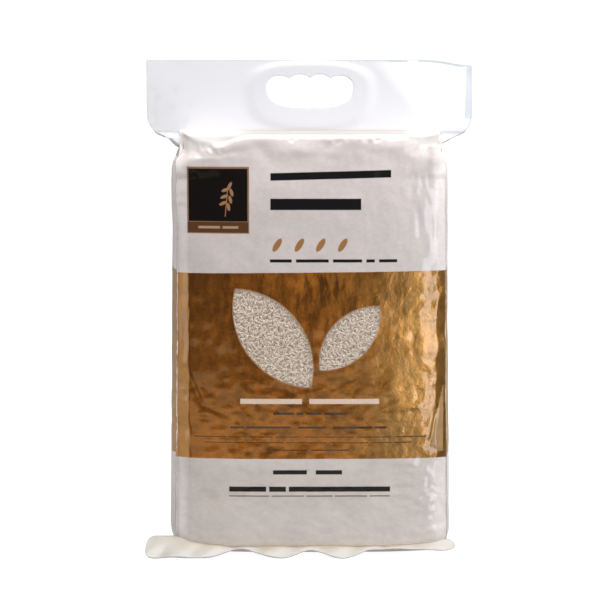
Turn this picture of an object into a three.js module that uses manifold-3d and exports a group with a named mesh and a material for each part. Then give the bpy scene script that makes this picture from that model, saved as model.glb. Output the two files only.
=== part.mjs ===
// A 5 kg brick of rice, vacuum-packed in a side-gusset film bag with a welded carrying handle.
// Millimetres, +Z up. The pack stands on its base with its printed front towards -Y. The origin
// is under the middle of its outer box, on the surface it stands on.
import * as THREE from 'three';
import { mergeVertices } from 'three/addons/utils/BufferGeometryUtils.js';
import Module from 'manifold-3d';

const wasm = await Module();
wasm.setup();

// The whole pack
const PACK_HEIGHT = 414.4; // base to the header's top edge
const HEADER_HALF_WIDTH = 135.8; // half the flat width of the bag
const FILM_HALF = 0.75; // half the thickness of the sealed film plies, gusset folds included
const WELD_GAP = 0.3; // between the film and the handle inside it

// The brick of rice
const BRICK_DEPTH = 77; // front face to back face
const SIDE_AT_FOOT = 119.8; // half-width just above the rounded base
const SIDE_AT_SHOULDER = 115.2; // half-width below the shoulder
const SHOULDER_START = 318; // where the front and back faces start to lean in
const SEAL_HEIGHT = 355.4; // where the two faces meet in the header's seal
const SHOULDER_POWER = 12; // how boxy the shoulder's rounding is
const PINCH_START = 322; // where the sides start to lean in
const FRONT_ROLL = 22; // radius of the base's front edge
const BACK_ROLL = 12; // radius of the base's back edge
const SIDE_ROLL = 20; // radius of the base's side edges
const FACE_POWER = 4; // how flat the faces stay before their corners
const TOP_FACE_POWER = 10; // the same, at the top of the shoulder

// The gusset in each side, between the creases where it leaves the front and back panels
const CREASE_INSET = 8; // how far each crease lies behind its face
const CREASE_SHUT = 351.5; // where the front and back creases meet, under the ear
const CREASE_POWER = 2.2; // how late they close
const SIDE_BULGE = 3.5; // how far the side stands out past its creases
const BULGE_END = 336; // where that has faded out
const CREASE_SHIFT = 0.9; // how far right of the middle the front creases stand
const MIDDLE_FOLD = 1.6; // depth of the fold line down the middle of the side
const TUCK = 8; // how far the gusset tucks in under the ear
const TUCK_HEIGHT = 342; // where the tuck is deepest
const TUCK_REACH = 11; // and how far above and below it fades out

// The ears where the bag opens from the brick's width to the header's
const EAR_CORNER = [108.8, 345.8]; // the inner corner under each ear: half-width, height
const EAR_TIP = [128.5, 354]; // the middle of the ear's round outer corner
const EAR_TOP = 369; // where the header's edge becomes straight
const BRICK_TOP_HALF = 107; // half-width of the brick's top; the ears past it are film only
const EAR_SHARE = 0.93; // how far across a panel's points the ears start
const SAG = 7; // how much lower the shoulder's left end hangs at the front
const SAG_SPAN = [-76, -50]; // full left of the first, none right of the second
const TOP_DROOP = 5; // how far the header's right top corner hangs
const DROOP_START = 81; // from here to the header's edge

// The bottom seal: a fin folded forwards that slopes down to the floor in front of the base
const FIN_ROOT = [-26, 16]; // y and z of its upper edge
const FIN_TIP = [-43, 0.7]; // y and z of its lower edge where it reaches the floor
const FIN_THICKNESS = 1;
const FIN_LEFT = -138.3; // where its left ear ends
const FIN_RIGHT = 122.6; // where its right ear ends
const FIN_SCOOPS = [[-59, 31, 8.6], [0.5, 24, 7.2]]; // centre, half-width and depth of each
const FIN_SHORT = [28, 54, 8.2]; // from the first to the second, and on to the right, shorter by the third
const FIN_WAVE_STEP = 4; // between the points of its wavy edge
const LEFT_EAR_ROUND = 8; // rounding of the left ear's upper corner
const LEFT_FOOT_ROUND = 4; // rounding of its lower corner
const RIGHT_EAR = { start: 110, neck: 114, top: 3.2, foot: 18 }; // x, x, and distances down the slope

// The handle insert: a flat ring with a scalloped finger opening
const HANDLE_THICKNESS = 3;
const HANDLE_CHAMFER = 0.6;
const HANDLE_POWER = 2.7; // of the superellipses that make its outlines
const OUTER_STEPS = 56;
const HOLE_STEPS = 96;
const HANDLE_OUTER = { half: 50.2, middle: 390.7, up: 20.8, down: 32.3 };
const HANDLE_HOLE = { half: 36, middle: 392.6, up: 6.6, down: 17.5 };
const SCALLOP_PITCH = 17;
const SCALLOP_END = 23; // pitch of the scallops at the opening's ends, which turn down into its sides
const SCALLOP_DEPTH = 3.6;
const SCALLOP_POWER = 0.7; // under 1 rounds the scallops and sharpens the cusps between them
const SCALLOP_FADE = 1.4; // how soon they reach full depth from the opening's ends
const SKIN = 0.5; // film over each face of the handle
const POCKET_RIM = 2.2; // how far the raised film runs out round the handle

const PANEL_STEPS = 26; // across the front, and across the back
const SIDE_STEPS = 8; // across each gusset
const RING_HEIGHTS = [
  0, 1, 3, 6, 10, 15, 22, 31, 44, 75, 120, 170, 220, 270, 304, 318, 326, 332, 336.5, 340, 343, 345.8,
  348, 350, 351.5, 352.8, 354, 354.8, 355.2, 355.4, 358.5, 362, 365.5, 369, 388, 403, PACK_HEIGHT,
];

const mix = (a, b, t) => a + (b - a) * t;
const ramp = (from, to, x) => THREE.MathUtils.smoothstep(x, from, to);
const bump = (centre, reach, x) => Math.cos((Math.PI / 2) * Math.min(1, Math.abs(x - centre) / reach)) ** 2;

// How far a rolled edge of this radius stands in at a height above the base.
function rolled(radius, z) {
  return z >= radius ? 0 : radius - Math.sqrt(radius ** 2 - (radius - z) ** 2);
}

// The outline seen from the front: the brick's side, the pinch under the ear, and the header's edge.
function halfWidth(z) {
  const [cornerX, cornerZ] = EAR_CORNER;
  const [tipX, tipZ] = EAR_TIP;
  if (z >= EAR_TOP) return HEADER_HALF_WIDTH;
  if (z >= tipZ) {
    const t = (EAR_TOP - z) / (EAR_TOP - tipZ);
    return HEADER_HALF_WIDTH - (HEADER_HALF_WIDTH - tipX) * t ** 2;
  }
  if (z >= cornerZ) return mix(cornerX, tipX, (z - cornerZ) / (tipZ - cornerZ));
  const side = mix(SIDE_AT_FOOT, SIDE_AT_SHOULDER, Math.min(1, z / SHOULDER_START));
  const pinch = ramp(PINCH_START, cornerZ, z) * (SIDE_AT_SHOULDER - cornerX);
  return side - pinch - rolled(SIDE_ROLL, z);
}

// Distance of the front (side -1) or back (side 1) face from the middle plane at a height.
function faceDepth(z, side) {
  const t = Math.min(1, Math.max(0, (z - SHOULDER_START) / (SEAL_HEIGHT - SHOULDER_START)));
  const full = BRICK_DEPTH / 2 - rolled(side < 0 ? FRONT_ROLL : BACK_ROLL, z);
  return FILM_HALF + (full - FILM_HALF) * (1 - t ** SHOULDER_POWER) ** (1 / SHOULDER_POWER);
}

// Distance of the crease from the middle plane: it closes sooner than the face, under the ear.
function creaseDepth(z, side) {
  const close = Math.min(1, Math.max(0, (z - SHOULDER_START) / (CREASE_SHUT - SHOULDER_START)));
  const inset = CREASE_INSET * (1 - close);
  return FILM_HALF + (faceDepth(z, side) - inset - FILM_HALF) * (1 - close ** CREASE_POWER);
}

// One level ring, anticlockwise from the left front crease: front, right gusset, back, left gusset.
function ring(z) {
  const outer = halfWidth(z);
  const standing = 1 - ramp(SHOULDER_START, BULGE_END, z);
  const creaseX = outer - SIDE_BULGE * standing;
  const shift = CREASE_SHIFT * standing;
  const middleX = outer - TUCK * bump(TUCK_HEIGHT, TUCK_REACH, z);
  const fold = MIDDLE_FOLD * standing * ramp(0, SIDE_ROLL, z);
  const ear = ramp(EAR_CORNER[1] - 8, EAR_CORNER[1] + 4, z);
  const brickX = mix(EAR_SHARE * creaseX, BRICK_TOP_HALF, ear);
  const power = mix(FACE_POWER, TOP_FACE_POWER, ramp(SHOULDER_START, SEAL_HEIGHT - 8, z));
  const points = [];
  const put = (x, y) => {
    const droop = TOP_DROOP * ramp(DROOP_START, HEADER_HALF_WIDTH, x) ** 2 * ramp(EAR_TOP, PACK_HEIGHT, z);
    const sag = SAG * (1 - ramp(...SAG_SPAN, x)) * ramp(331, 347, z) * ramp(0, 44, -y);
    points.push(new THREE.Vector3(x, y, z - droop - sag));
  };
  for (const side of [-1, 1]) {
    const face = faceDepth(z, side);
    const crease = creaseDepth(z, side);
    for (let i = 0; i < PANEL_STEPS; i++) {
      const even = mix(-1, 1, i / PANEL_STEPS);
      const across = (even + Math.sin((Math.PI / 2) * even)) / 2; // closer together near the creases
      const off = Math.abs(across);
      const past = Math.max(0, (off - EAR_SHARE) / (1 - EAR_SHARE));
      const wide = brickX * Math.min(1, off / EAR_SHARE) + (creaseX - brickX) * past;
      const depth = crease + (face - crease) * (1 - Math.min(1, off / mix(1, EAR_SHARE, ear)) ** power);
      put(-side * Math.sign(across) * wide + (side < 0 ? shift : 0), side * depth);
    }
    const far = creaseDepth(z, -side);
    for (let i = 0; i < SIDE_STEPS; i++) {
      const along = mix(-1, 1, i / SIDE_STEPS);
      const swell = (middleX - creaseX) * (1 - along ** 2) - (i === SIDE_STEPS / 2 ? fold : 0);
      const lean = (shift * (1 + side * along)) / 2;
      put(-side * (creaseX + swell) + lean, side * mix(crease, -far, (along + 1) / 2));
    }
  }
  return points;
}

// Closed skin over a stack of rings, with a fan over each end.
function loft(rings) {
  const count = rings[0].length;
  const points = rings.flat();
  const faces = [];
  for (let k = 0; k + 1 < rings.length; k++) {
    for (let i = 0; i < count; i++) {
      const [a, b] = [k * count + i, k * count + ((i + 1) % count)];
      faces.push(a, b, b + count, a, b + count, a + count);
    }
  }
  const cap = (k, flip) => {
    const middle = rings[k].reduce((sum, p) => sum.add(p), new THREE.Vector3()).divideScalar(count);
    points.push(middle);
    for (let i = 0; i < count; i++) {
      const pair = [k * count + i, k * count + ((i + 1) % count)];
      faces.push(points.length - 1, ...(flip ? pair.reverse() : pair));
    }
  };
  cap(0, true);
  cap(rings.length - 1, false);
  return new THREE.BufferGeometry().setFromPoints(points).setIndex(faces);
}

// Two half superellipses of unlike heights, one over the other, grown all round.
function roundOutline({ half, middle, up, down }, grow, steps) {
  const points = [];
  for (let i = 0; i < steps; i++) {
    const angle = (2 * Math.PI * i) / steps;
    const [c, s] = [Math.cos(angle), Math.sin(angle)];
    const x = (half + grow) * Math.sign(c) * Math.abs(c) ** (2 / HANDLE_POWER);
    const rise = Math.sign(s) * Math.abs(s) ** (2 / HANDLE_POWER);
    points.push(new THREE.Vector2(x, middle + rise * (grow + (s > 0 ? up : down))));
  }
  return points;
}

// The finger opening: such an outline, with scallops pushed up into its top.
function fingerOutline() {
  return roundOutline(HANDLE_HOLE, 0, HOLE_STEPS).map(({ x, y }) => {
    const rise = Math.max(0, y - HANDLE_HOLE.middle) / HANDLE_HOLE.up;
    const inner = Math.min(Math.abs(x), SCALLOP_PITCH) / SCALLOP_PITCH;
    const outer = Math.max(0, Math.abs(x) - SCALLOP_PITCH) / SCALLOP_END;
    const wave = Math.abs(Math.sin(Math.PI * (inner + outer))) ** SCALLOP_POWER;
    return new THREE.Vector2(x, y + SCALLOP_DEPTH * wave * Math.min(1, rise * SCALLOP_FADE));
  });
}

// A plate of this thickness, upright in the header's plane, with its edges chamfered.
function upright(shape, thickness, chamfer) {
  const plate = new THREE.ExtrudeGeometry(shape, {
    depth: thickness - 2 * chamfer,
    bevelEnabled: chamfer > 0,
    bevelThickness: chamfer,
    bevelSize: chamfer,
    bevelOffset: -chamfer,
    bevelSegments: 1,
  });
  return plate.translate(0, 0, chamfer - thickness / 2).rotateX(Math.PI / 2);
}

// The handle's outline filled in, for the film's raised pad and for the pocket inside it.
function filledHandle(grow, thickness, chamfer) {
  return upright(new THREE.Shape(roundOutline(HANDLE_OUTER, grow, OUTER_STEPS)), thickness, chamfer);
}

function fingerPlug() {
  return upright(new THREE.Shape(fingerOutline()), BRICK_DEPTH, 0);
}

// The fin's outline flat on its own slope: x across the pack, y down the slope from its root.
function finOutline() {
  const full = Math.hypot(FIN_TIP[0] - FIN_ROOT[0], FIN_TIP[1] - FIN_ROOT[1]);
  const [shortFrom, shortTo, shortBy] = FIN_SHORT;
  const lower = (x) => {
    const scooped = FIN_SCOOPS.reduce((sum, [at, reach, depth]) => sum + depth * bump(at, reach, x), 0);
    return full - scooped - shortBy * ramp(shortFrom, shortTo, x);
  };
  const { start, neck, top, foot } = RIGHT_EAR;
  const shape = new THREE.Shape();
  shape.moveTo(FIN_LEFT, LEFT_EAR_ROUND);
  shape.quadraticCurveTo(FIN_LEFT, 0, FIN_LEFT + LEFT_EAR_ROUND, 0);
  shape.lineTo(start, 0);
  shape.lineTo(neck, top);
  shape.quadraticCurveTo(FIN_RIGHT, top, FIN_RIGHT, (top + foot) / 2);
  shape.quadraticCurveTo(FIN_RIGHT, foot, neck, lower(neck));
  for (let x = neck - FIN_WAVE_STEP; x > FIN_LEFT + LEFT_FOOT_ROUND; x -= FIN_WAVE_STEP) {
    shape.lineTo(x, lower(x));
  }
  shape.quadraticCurveTo(FIN_LEFT, full, FIN_LEFT, full - LEFT_FOOT_ROUND);
  return shape;
}

function fin() {
  const sheet = new THREE.ExtrudeGeometry(finOutline(), {
    depth: FIN_THICKNESS,
    bevelEnabled: false,
    curveSegments: 4,
  });
  const slope = Math.atan2(FIN_TIP[1] - FIN_ROOT[1], FIN_TIP[0] - FIN_ROOT[0]);
  return sheet
    .translate(0, 0, -FIN_THICKNESS / 2)
    .rotateX(slope)
    .translate(0, FIN_ROOT[0], FIN_ROOT[1]);
}

function solid(geometry) {
  const bare = geometry.clone();
  bare.deleteAttribute('normal');
  bare.deleteAttribute('uv');
  const merged = mergeVertices(bare, 1e-4);
  return new wasm.Manifold(new wasm.Mesh({
    numProp: 3,
    vertProperties: new Float32Array(merged.attributes.position.array),
    triVerts: new Uint32Array(merged.index.array),
  }));
}

function geometry(manifold) {
  const { vertProperties, triVerts } = manifold.getMesh();
  const shape = new THREE.BufferGeometry();
  shape.setAttribute('position', new THREE.BufferAttribute(new Float32Array(vertProperties), 3));
  shape.setIndex([...triVerts]);
  shape.computeVertexNormals();
  return shape;
}

// Film, rice and bottom seal in one body, hollow only where the handle sits between the plies.
function bag() {
  const pocket = HANDLE_THICKNESS + 2 * WELD_GAP;
  const covered = pocket + 2 * SKIN;
  return geometry(
    solid(loft(RING_HEIGHTS.map(ring)))
      .add(solid(filledHandle(POCKET_RIM, covered, covered / 2 - FILM_HALF)))
      .add(solid(fin()))
      .subtract(solid(filledHandle(WELD_GAP, pocket, 0)))
      .subtract(solid(fingerPlug())),
  );
}

function handle() {
  const shape = new THREE.Shape(roundOutline(HANDLE_OUTER, 0, OUTER_STEPS));
  shape.holes.push(new THREE.Path(fingerOutline()));
  return geometry(solid(upright(shape, HANDLE_THICKNESS, HANDLE_CHAMFER)));
}

const film = new THREE.MeshStandardMaterial({ color: 0xd3cccb, roughness: 0.35, metalness: 0 });
const polythene = new THREE.MeshStandardMaterial({ color: 0xf3f3f7, roughness: 0.45, metalness: 0 });

const pack = new THREE.Group();
for (const [name, shape, material] of [['bag', bag(), film], ['handle', handle(), polythene]]) {
  const piece = new THREE.Mesh(shape, material);
  piece.name = name;
  pack.add(piece);
}

// The left ear reaches out further than the right, so the box's middle isn't the handle's.
const box = new THREE.Box3().setFromObject(pack);
const middle = box.getCenter(new THREE.Vector3());
pack.position.set(-middle.x, -middle.y, -box.min.z);

export default pack;
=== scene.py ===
from functools import reduce

import bpy
import numpy as np
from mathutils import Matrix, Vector


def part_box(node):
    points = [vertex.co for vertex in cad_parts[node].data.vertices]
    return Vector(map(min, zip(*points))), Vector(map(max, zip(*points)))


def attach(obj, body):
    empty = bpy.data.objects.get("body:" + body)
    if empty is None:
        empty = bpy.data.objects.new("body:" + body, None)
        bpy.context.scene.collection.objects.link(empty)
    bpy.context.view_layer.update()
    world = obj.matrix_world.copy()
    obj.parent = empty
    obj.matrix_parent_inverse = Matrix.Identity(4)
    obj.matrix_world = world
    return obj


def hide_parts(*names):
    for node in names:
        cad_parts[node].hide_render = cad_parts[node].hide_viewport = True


# A 5 kg brick of rice, vacuum-packed in a side-gusset film bag with a welded carrying handle.
# Shapes are worked out in millimetres about the pack's own centre line: x to the right, y away
# from the printed front, z up from the floor, with the header in the plane y = 0.
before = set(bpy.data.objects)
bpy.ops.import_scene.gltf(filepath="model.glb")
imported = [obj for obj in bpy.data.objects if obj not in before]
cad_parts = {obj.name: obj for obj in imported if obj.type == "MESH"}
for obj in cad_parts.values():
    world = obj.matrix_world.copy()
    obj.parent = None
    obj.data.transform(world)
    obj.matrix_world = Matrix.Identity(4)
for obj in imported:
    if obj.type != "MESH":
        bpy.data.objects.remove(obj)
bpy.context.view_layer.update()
handle_low, handle_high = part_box("handle")
CENTRE = np.array([(handle_low.x + handle_high.x) / 2, (handle_low.y + handle_high.y) / 2, 0.0])

# ------------------------------------------------------------------ sizes, in millimetres
PACK_HEIGHT = 1000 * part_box("bag")[1].z
HEADER_HALF_WIDTH = 135.8
FILM_HALF = 0.75
PLY_HALF = 0.32
OVER_HANDLE = 1.3

BRICK_DEPTH = 77
SIDE_AT_FOOT = 119.8
SIDE_AT_SHOULDER = 115.2
SHOULDER_START = 318
SEAL_HEIGHT = 355.4
SHOULDER_POWER = 12
PINCH_START = 322
FRONT_ROLL = 22
BACK_ROLL = 12
SIDE_ROLL = 20
FACE_POWER = 4
TOP_FACE_POWER = 10

CREASE_INSET = 8
CREASE_SHUT = 351.5
CREASE_POWER = 2.2
SIDE_BULGE = 3.5
BULGE_END = 336
CREASE_SHIFT = 0.9
MIDDLE_FOLD = 1.6
TUCK = 8
TUCK_HEIGHT = 342
TUCK_REACH = 11

EAR_CORNER = (108.8, 345.8)
EAR_TIP = (128.5, 354)
EAR_TOP = 369
BRICK_TOP_HALF = 107
EAR_SHARE = 0.93
SAG = 7
SAG_FULL = -76
SAG_END = -50
TOP_DROOP = 5
DROOP_START = 81

FIN_ROOT = (-26, 16)
FIN_TIP = (-43, 0.7)
FIN_LEFT = -138.3
FIN_RIGHT = 122.6
FIN_LEFT_ROUND = 8
FIN_RIGHT_ROUND = 8.6
FIN_SCOOPS = ((-59, 31, 8.6), (0.5, 24, 7.2))
FIN_SHORT = (28, 54, 8.2)

HANDLE_POWER = 2.7
HANDLE_OUTER = dict(half=50.2, middle=390.7, up=20.8, down=32.3)
HANDLE_HOLE = dict(half=36, middle=392.6, up=6.6, down=17.5)
HANDLE_THICKNESS = 3
SCALLOP_PITCH = 17
SCALLOP_END = 23
SCALLOP_DEPTH = 3.6
SCALLOP_POWER = 0.7
SCALLOP_FADE = 1.4

# Points round the film on each panel, and rings in its flat base
FRONT_STEPS = 176
SIDE_STEPS = 24
BACK_STEPS = 92
BASE_RINGS = 6

# Places under the seal where the puckers are deepest: x, z, and how far they reach across and down
PUCKERS = ((-80, 350, 17, 6), (22, 350, 14, 5), (-14, 351, 7, 6), (52, 351, 16, 4))

# Soft folds below the shoulder, then creases pressed into the front's lower corners, each from
# start to end (x, z), with its width and depth
SOFT_FOLDS = (
    ((-47, 351), (-31, 333), 6.0, 0.9),
    ((4, 350), (24, 331), 7.0, 0.8),
    ((-64, 346), (-72, 331), 5.0, 0.4),
    ((70, 344), (62, 326), 6.0, 0.5),
    ((-106, 163), (-97, 147), 2.4, 0.5),
    ((-97, 147), (-91, 130), 2.2, 0.45),
    ((-91, 130), (-70, 121), 2.0, 0.35),
    ((-96, 152), (-84, 141), 2.0, 0.25),
    ((-95, 120), (-82, 117), 2.0, 0.16),
    ((100.5, 96), (111, 147), 1.8, 0.35),
    ((100.5, 94), (112, 88), 1.6, 0.3),
)

# The gold band and the leaf windows in it: tips (x, z) and half-width
BAND_LOW = 84.5
BAND_HIGH = 241.2
BAND_RISE = 0.0095
LEAVES = (((-61.7, 227.4), (0.6, 144.9), 24.8), ((57.8, 212.9), (8.5, 159.6), 17.3))


# ------------------------------------------------------------------ arithmetic on whole arrays
def mix(a, b, t):
    """a where t is 0, b where t is 1."""
    return a + (b - a) * t


def ramp(low, high, x):
    """0 below low, 1 above high, and a smooth cubic between."""
    t = np.clip((x - low) / (high - low), 0, 1)
    return t * t * (3 - 2 * t)


def bump(centre, reach, x):
    """A squared cosine: 1 at the centre, 0 from its reach outwards."""
    return np.cos(np.pi / 2 * np.clip(np.abs(x - centre) / reach, 0, 1)) ** 2


def rolled(radius, z):
    """How far a quarter-round edge of this radius stands in at height z."""
    left = np.clip(radius - z, 0, radius)
    return radius - np.sqrt(radius**2 - left**2)


def signed_power(value, power):
    """|value| to the power, with the value's own sign."""
    return np.sign(value) * np.abs(value) ** power


def field(round_share, height_share, across, up, seed):
    """Smooth random values about -1 to 1 over the unrolled film: random numbers on a lattice of
    across by up cells, eased between by a cubic, closing on itself round the pack."""
    table = np.random.default_rng(seed).uniform(-1, 1, (up + 2, across))
    u, v = np.broadcast_arrays(round_share * across, height_share * up)
    i, j = np.floor(u).astype(int), np.floor(v).astype(int)
    a, b = ramp(0, 1, u - i), ramp(0, 1, v - j)
    here, after = i % across, (i + 1) % across
    below, above = j.clip(0, up + 1), (j + 1).clip(0, up + 1)
    low = mix(table[below, here], table[below, after], a)
    high = mix(table[above, here], table[above, after], a)
    return mix(low, high, b)


def groove(x, z, start, end, width):
    """1 on the straight line from start to end, falling as a bell of this width to its sides."""
    (ax, az), (bx, bz) = start, end
    length = np.hypot(bx - ax, bz - az)
    along = np.clip(((x - ax) * (bx - ax) + (z - az) * (bz - az)) / length**2, 0, 1)
    away = np.hypot(x - mix(ax, bx, along), z - mix(az, bz, along))
    return np.exp(-((away / width) ** 2)) * np.sin(np.pi * np.clip(along, 0.03, 0.97)) ** 0.5


def grid_faces(rows, columns, closed):
    """The quads of points numbered row by row; closed joins each row's last point to its first."""
    here = np.arange(columns if closed else columns - 1)[None, :]
    after = (here + 1) % columns
    row = np.arange(rows - 1)[:, None] * columns
    corners = [row + here, row + after, row + after + columns, row + here + columns]
    return np.stack(corners, -1).reshape(-1, 4)


def tube_faces(rows, columns, closed):
    """The same quads, and those that join the last row to the first."""
    return grid_faces(rows + 1, columns, closed) % (rows * columns)


def fan_faces(first, columns, pole, flip):
    """Triangles from a closed ring, numbered from first, to a pole."""
    here = first + np.arange(columns)
    after = first + (np.arange(columns) + 1) % columns
    pair = (after, here) if flip else (here, after)
    return np.stack([*pair, np.full(columns, pole)], -1)


def piece(name, points, faces, materials):
    """A smooth object on the root body, from points in millimetres and lists of corner numbers."""
    metres = np.asarray(points, float).reshape(-1, 3) / 1000 + CENTRE
    mesh = bpy.data.meshes.new(name)
    corners = [face for group in faces for face in np.asarray(group).tolist()]
    mesh.from_pydata(metres.tolist(), [], corners)
    mesh.polygons.foreach_set("use_smooth", np.ones(len(mesh.polygons), bool))
    for material in materials:
        mesh.materials.append(material)
    mesh.update()
    made = bpy.data.objects.new(name, mesh)
    bpy.context.scene.collection.objects.link(made)
    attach(made, "root")
    return made


def store(made, name, values):
    """Keeps one number for each point of a piece, for its finish to read."""
    kept = made.data.attributes.new(name, "FLOAT", "POINT")
    kept.data.foreach_set("value", np.asarray(values).ravel().astype(np.float32))


# ------------------------------------------------------------------ the brick in its film
def half_width(z):
    """The outline from the front: straight sides leaning in, a pinch under the ears, the round
    ears, and the header's straight edge; the base's side edges are quarter rounds."""
    (corner_x, corner_z), (tip_x, tip_z) = EAR_CORNER, EAR_TIP
    pinch = ramp(PINCH_START, corner_z, z) * (SIDE_AT_SHOULDER - corner_x)
    side = mix(SIDE_AT_FOOT, SIDE_AT_SHOULDER, np.minimum(1, z / SHOULDER_START))
    side = side - pinch - rolled(SIDE_ROLL, z)
    slope = mix(corner_x, tip_x, (z - corner_z) / (tip_z - corner_z))
    ear = HEADER_HALF_WIDTH - (HEADER_HALF_WIDTH - tip_x) * ((EAR_TOP - z) / (EAR_TOP - tip_z)) ** 2
    return np.select([z >= EAR_TOP, z >= tip_z, z >= corner_z], [HEADER_HALF_WIDTH, ear, slope], side)


def face_depth(z, side):
    """Middle plane to the front (side -1) or back (1) face: upright, a quarter round at the base
    and a superellipse over the shoulder."""
    t = np.clip((z - SHOULDER_START) / (SEAL_HEIGHT - SHOULDER_START), 0, 1)
    full = BRICK_DEPTH / 2 - rolled(FRONT_ROLL if side < 0 else BACK_ROLL, z)
    return FILM_HALF + (full - FILM_HALF) * (1 - t**SHOULDER_POWER) ** (1 / SHOULDER_POWER)


def crease_depth(z, side):
    """Middle plane to the crease beside that face, which closes sooner, under the ear."""
    shut = np.clip((z - SHOULDER_START) / (CREASE_SHUT - SHOULDER_START), 0, 1)
    inset = CREASE_INSET * (1 - shut)
    return FILM_HALF + (face_depth(z, side) - inset - FILM_HALF) * (1 - shut**CREASE_POWER)


def face_power(z):
    """How flat a face stays before its creases: flatter over the shoulder."""
    return mix(FACE_POWER, TOP_FACE_POWER, ramp(SHOULDER_START, SEAL_HEIGHT - 8, z))


def pack_surface(z):
    """Level rings at heights z, anticlockwise from the left front crease: the front panel's depth
    falls with a power of x towards its creases, each gusset bulges as a parabola with a fold line
    down its middle, and the back is as the front. The brick's top ends short of the ears, and the
    front creases stand a little to the right. Returns points, rows by columns."""
    z = z[:, None]
    outer = half_width(z)
    standing = 1 - ramp(SHOULDER_START, BULGE_END, z)
    crease_x = outer - SIDE_BULGE * standing
    middle_x = outer - TUCK * bump(TUCK_HEIGHT, TUCK_REACH, z)
    fold = MIDDLE_FOLD * standing * ramp(0, SIDE_ROLL, z)
    ear = ramp(EAR_CORNER[1] - 8, EAR_CORNER[1] + 4, z)
    brick_x = mix(EAR_SHARE * crease_x, BRICK_TOP_HALF, ear)
    xs, ys = [], []
    for side, steps in ((-1, FRONT_STEPS), (1, BACK_STEPS)):
        crease = crease_depth(z, side)
        even = np.arange(steps)[None, :] / steps * 2 - 1
        across = (even + np.sin(np.pi / 2 * even)) / 2
        off = np.abs(across)
        inner = np.minimum(1, off / EAR_SHARE)
        beyond = np.maximum(0, (off - EAR_SHARE) / (1 - EAR_SHARE))
        wide = brick_x * inner + (crease_x - brick_x) * beyond
        crown = 1 - np.minimum(1, off / mix(1, EAR_SHARE, ear)) ** face_power(z)
        xs.append(-side * np.sign(across) * wide + CREASE_SHIFT * standing * (side < 0))
        ys.append(side * (crease + (face_depth(z, side) - crease) * crown))
        along = np.arange(SIDE_STEPS)[None, :] / SIDE_STEPS * 2 - 1
        swell = (middle_x - crease_x) * (1 - along**2) - fold * np.clip(1 - 4 * np.abs(along), 0, 1)
        xs.append(-side * (crease_x + swell) + CREASE_SHIFT * standing * (1 + side * along) / 2)
        ys.append(side * mix(crease, -crease_depth(z, -side), (along + 1) / 2))
    x, y = np.hstack(xs), np.hstack(ys)
    return np.stack([x, y, np.broadcast_to(z, x.shape)], -1)


def sagged(points):
    """The same points with the shoulder's left end hanging lower towards the front."""
    x, y, z = points[..., 0], points[..., 1], points[..., 2]
    hang = SAG * (1 - ramp(SAG_FULL, SAG_END, x)) * ramp(331, 347, z) * ramp(0, 44, -y)
    return np.stack([x, y, z - hang], -1)


def outward(points):
    """Unit normals of a closed ring grid, from the cross product of its two directions."""
    round_way = np.roll(points, -1, 1) - np.roll(points, 1, 1)
    up_way = np.gradient(points, axis=0)
    normal = np.cross(round_way, up_way)
    return normal / np.maximum(np.linalg.norm(normal, axis=-1, keepdims=True), 1e-9)


def film_relief(points, round_share):
    """How far the film stands off its smooth shape, in millimetres: a slow heave of the whole
    brick, dents of a few grains' width, streaks and ripples where the film is drawn tight, facets
    along the front's edges, puckers over the shoulder, and the single folds and creases of
    SOFT_FOLDS. Most of it is random fields, each with a seed of its own."""
    x, y, z = points[..., 0], points[..., 1], points[..., 2]
    s, h = np.broadcast_to(round_share, x.shape), z / PACK_HEIGHT
    front = ramp(2, 12, -y)
    s = s + 0.012 * field(s, h, 14, 9, 11)
    heave = 0.8 * field(s, h, 9, 6, 1) + 0.4 * field(s, h, 19, 12, 2)
    lumps = 0.17 * field(s, h, 44, 29, 3) + 0.10 * field(s, h, 86, 58, 4)
    upright = 0.085 * field(s, h, 150, 26, 5)
    level = 0.12 * field(s, h, 92, 84, 6)
    high = ramp(120, 170, z)
    gusset = ramp(104, 112, np.abs(x))
    relief = heave * (1 - 0.75 * gusset) + lumps + mix(level, upright, high)
    relief += gusset * (x < 0) * (0.3 + 1.3 * bump(308, 42, z))

    # The front's right half is lumpy, its right edge drawn into short ripples and, above the
    # band, into tall streaks
    right = front * ramp(20, 60, x) * (1 - ramp(236, 250, z))
    relief += right * (0.12 * field(s, h, 112, 62, 12) + 0.05 * field(s, h, 150, 104, 17) - 0.6 * upright)
    relief += front * (1 - ramp(135, 165, z)) * 0.13 * field(s, h, 78, 92, 13)
    edge = front * ramp(60, 96, x)
    relief += edge * (1 - ramp(236, 250, z)) * 0.10 * field(s, h, 60, 84, 7)
    relief += edge * ramp(240, 262, z) * 0.30 * field(s, h, 120, 22, 8)
    relief += edge * ramp(285, 315, z) * 0.22 * field(s, h, 200, 70, 18)

    # Narrow facets along both edges of the front, and two hollows at the band's right edge
    wander = 1.3 * field(s, h, 6, 30, 14) + 0.5 * field(s, h, 6, 90, 15)
    relief -= front * 0.30 * np.maximum(0, -100.5 - x + wander)
    relief -= front * 0.17 * np.maximum(0, x - 106.2 + wander)
    relief -= front * ramp(66, 90, x) * (1.0 * bump(190, 20, z) + 0.95 * bump(136, 44, z))

    # The shoulder: uneven puckers that run down from the seal, and a hollow right of its middle
    shoulder = ramp(330, 346, z) * (1 - ramp(352.5, 355, z))
    relief += shoulder * (1.3 * field(s, h, 22, 40, 9) + 0.5 * field(s, h, 58, 60, 10))
    relief -= front * 1.6 * bump(20, 20, x) * ramp(338, 350, z)
    for at_x, at_z, reach, tall in PUCKERS:
        relief += front * 1.5 * bump(at_x, reach, x) * bump(at_z, tall, z) * field(s, h, 190, 130, 16)

    for start, end, width, depth in SOFT_FOLDS:
        relief -= front * depth * groove(x, z, start, end, width)
    return relief


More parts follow.
